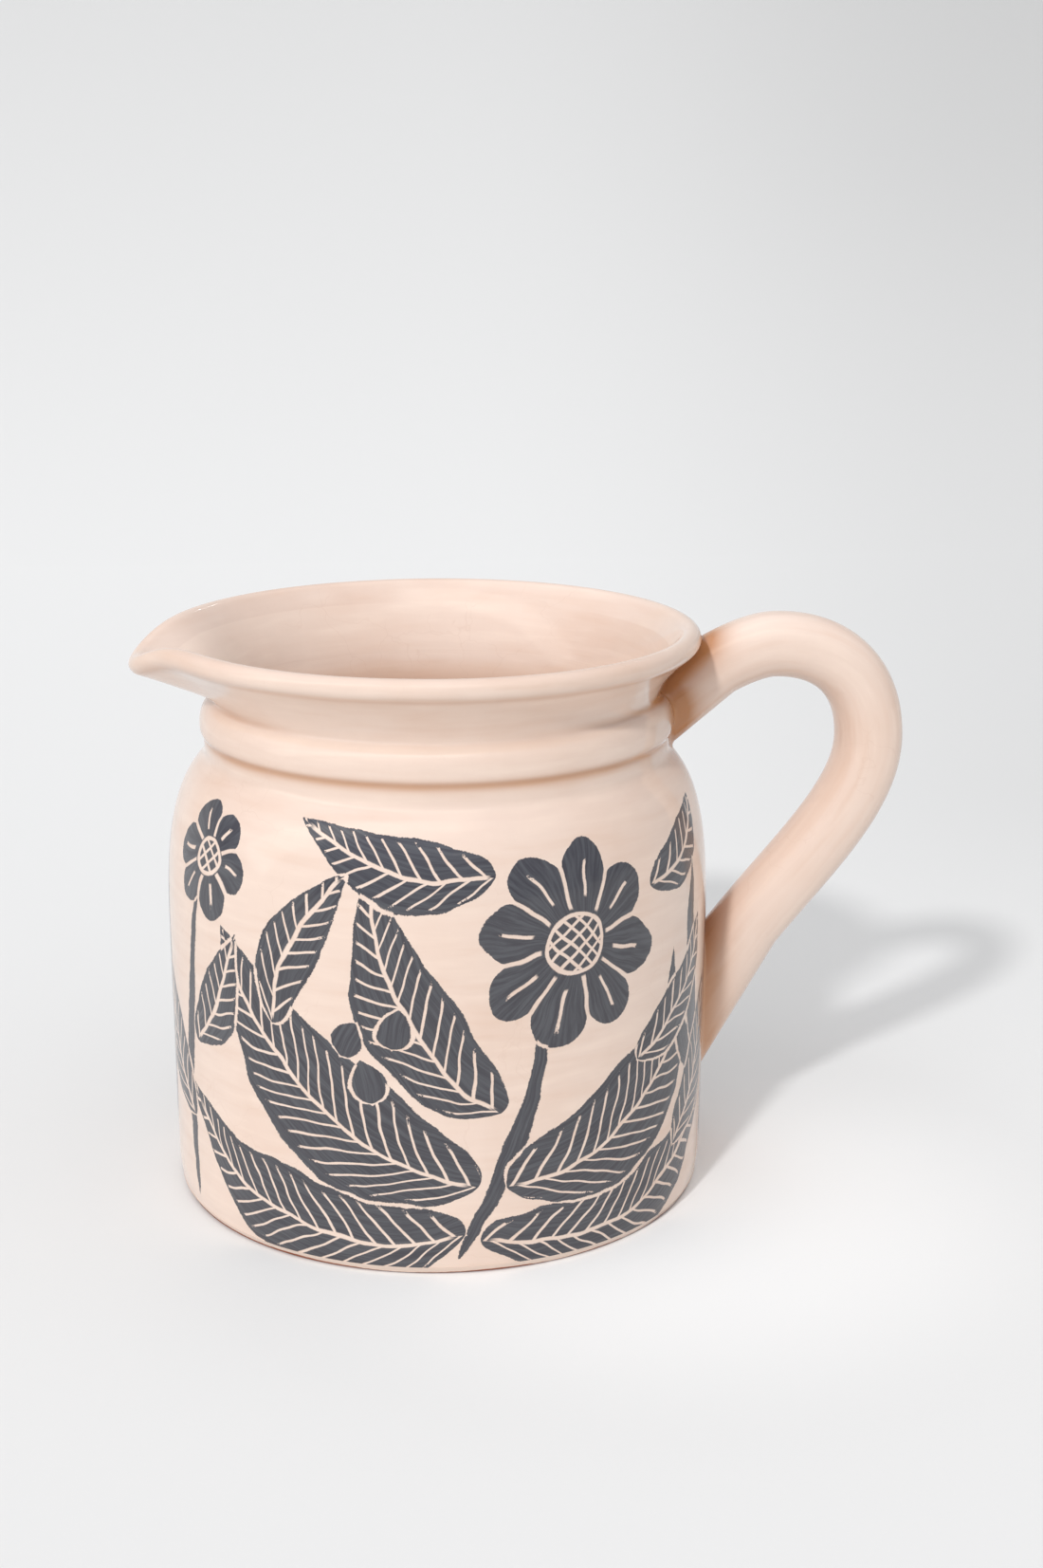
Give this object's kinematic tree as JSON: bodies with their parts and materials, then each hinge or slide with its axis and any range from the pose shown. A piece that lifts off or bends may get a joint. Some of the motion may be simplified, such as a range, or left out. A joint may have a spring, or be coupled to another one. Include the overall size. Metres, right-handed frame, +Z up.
{
  "type": "jug",
  "caption": "Straight-sided pouring jug with a short shoulder, a raised collar, a flared neck pulled into a spout and a loop handle opposite the spout.",
  "frame": {"origin": "centre of the foot, on the surface that the jug stands on", "axes": "+X towards the handle with the spout on -X, +Z up, and the jug is the same on both sides of the XZ plane"},
  "size_m": [0.215, 0.15, 0.1589],
  "materials": {
    "plain_glaze": "pale peach glossy glaze, finely crazed, warmer where it pools in creases",
    "decorated_glaze": "the same glaze over a frieze of dark brushed slip with scratched pale lines",
    "bare_clay": "unglazed red-brown earthenware, matt"
  },
  "bodies": {
    "root": {"foot_ring": "bare_clay", "base_floor": "plain_glaze", "body_wall": "decorated_glaze", "shoulder": "decorated_glaze", "collar_ring": "plain_glaze", "neck": "plain_glaze", "spout": "plain_glaze", "rim_lip": "plain_glaze", "handle_grip": "plain_glaze", "upper_handle_root": "plain_glaze", "lower_handle_root": "plain_glaze"}
  },
  "joints": []
}
